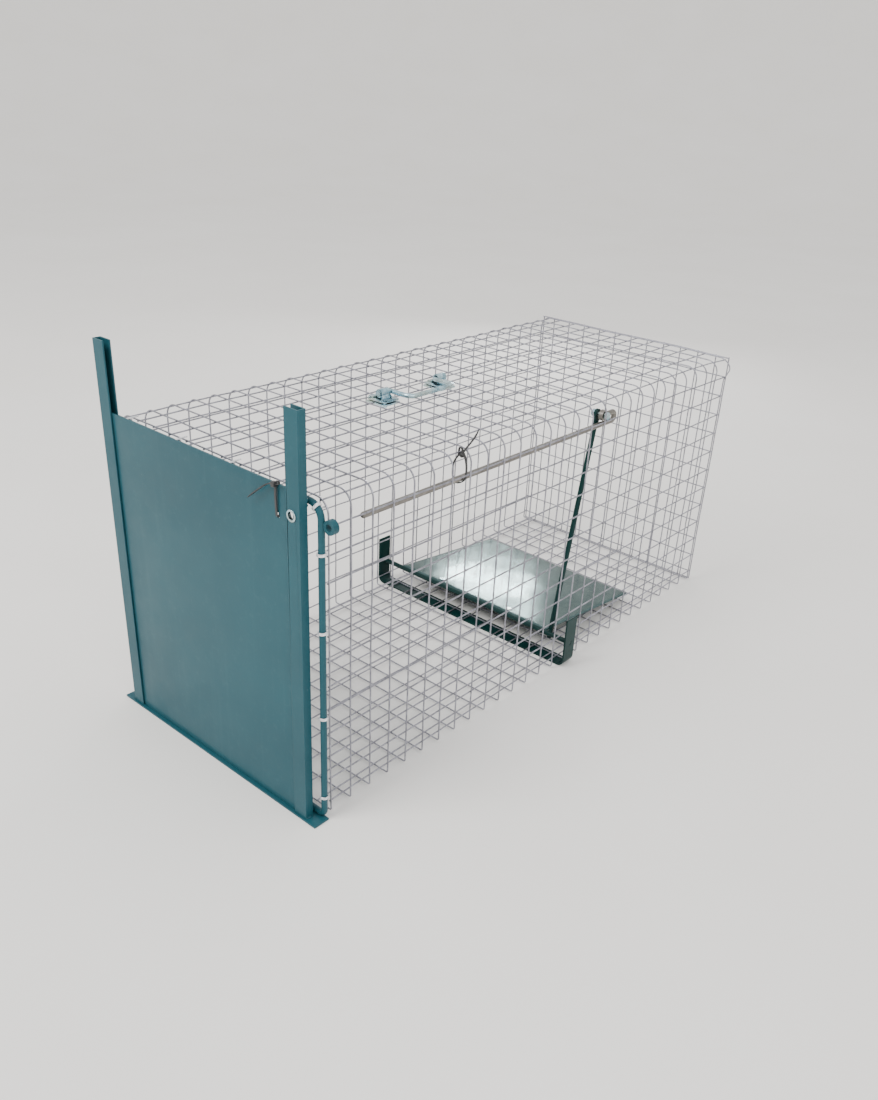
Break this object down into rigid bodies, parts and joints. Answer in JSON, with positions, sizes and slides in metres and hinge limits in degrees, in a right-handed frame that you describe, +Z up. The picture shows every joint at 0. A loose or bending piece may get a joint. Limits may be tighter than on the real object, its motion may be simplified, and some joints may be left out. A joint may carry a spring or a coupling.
{
  "type": "live catch trap",
  "caption": "Live catch trap: welded-mesh cage with a drop door in upright channels, a floor treadle, a lever and a trigger rod, and a folding carrying handle.",
  "frame": {"origin": "centre of the sill's underside, on the ground under the door", "axes": "+Z up; -Y out through the door, so the cage runs back along +Y; +X to the right of someone facing +Y through the door"},
  "size_m": [0.3169, 0.718, 0.394],
  "materials": {
    "green_paint": "semi-gloss teal green enamel",
    "dark_green_paint": "semi-gloss bottle green enamel",
    "galvanised_wire": "galvanised welded wire, satin",
    "zinc_plate": "bright zinc plated steel",
    "plain_steel": "plain drawn steel, dull and slightly warm",
    "galvanised_sheet": "galvanised sheet, satin with bluish spangle",
    "black_nylon": "black nylon"
  },
  "bodies": {
    "cage": {"sill": "green_paint", "upright_left": "green_paint", "upright_right": "green_paint", "front_hoop": "green_paint", "anchor_eye": "green_paint", "latch_bush": "zinc_plate", "mesh_floor": "galvanised_wire", "mesh_top": "galvanised_wire", "mesh_left": "galvanised_wire", "mesh_right": "galvanised_wire", "mesh_rear": "galvanised_wire", "mesh_bend_left": "galvanised_wire", "mesh_bend_right": "galvanised_wire", "hoop_wraps": "galvanised_wire", "treadle_bracket": "dark_green_paint", "rod_tie": "black_nylon", "handle_bracket_front": "zinc_plate", "handle_bracket_rear": "zinc_plate", "handle_backing_front": "zinc_plate", "handle_backing_rear": "zinc_plate", "handle_rivets": "zinc_plate"},
    "door": {"door_panel": "green_paint", "door_tie": "black_nylon"},
    "treadle": {"treadle_plate": "galvanised_sheet", "treadle_frame": "dark_green_paint", "treadle_rivets": "zinc_plate", "pivot_rod": "dark_green_paint", "lever": "dark_green_paint", "lever_bolt": "zinc_plate", "lever_nut": "zinc_plate"},
    "rod": {"trigger_rod": "plain_steel"},
    "bail": {"handle_bail": "zinc_plate"}
  },
  "joints": [
    {"name": "door_slide", "type": "slide", "parent": "cage", "child": "door", "axis": [0, 0, 1], "range_m": [0, 0.307]},
    {"name": "treadle_hinge", "type": "hinge", "parent": "cage", "child": "treadle", "pos_m": [0, 0.394, 0.03], "axis": [1, 0, 0], "range_deg": [0, 17]},
    {"name": "rod_hinge", "type": "hinge", "parent": "treadle", "child": "rod", "pos_m": [0.129, 0.4454, 0.293], "axis": [1, 0, 0], "range_deg": [-20, 0]},
    {"name": "bail_hinge", "type": "hinge", "parent": "cage", "child": "bail", "pos_m": [-0.013, 0.285, 0.325], "axis": [0, -1, 0], "range_deg": [0, 175]}
  ],
  "couplings": [
    {"joint": "rod_hinge", "follows": "treadle_hinge", "ratio": -1.1747}
  ]
}
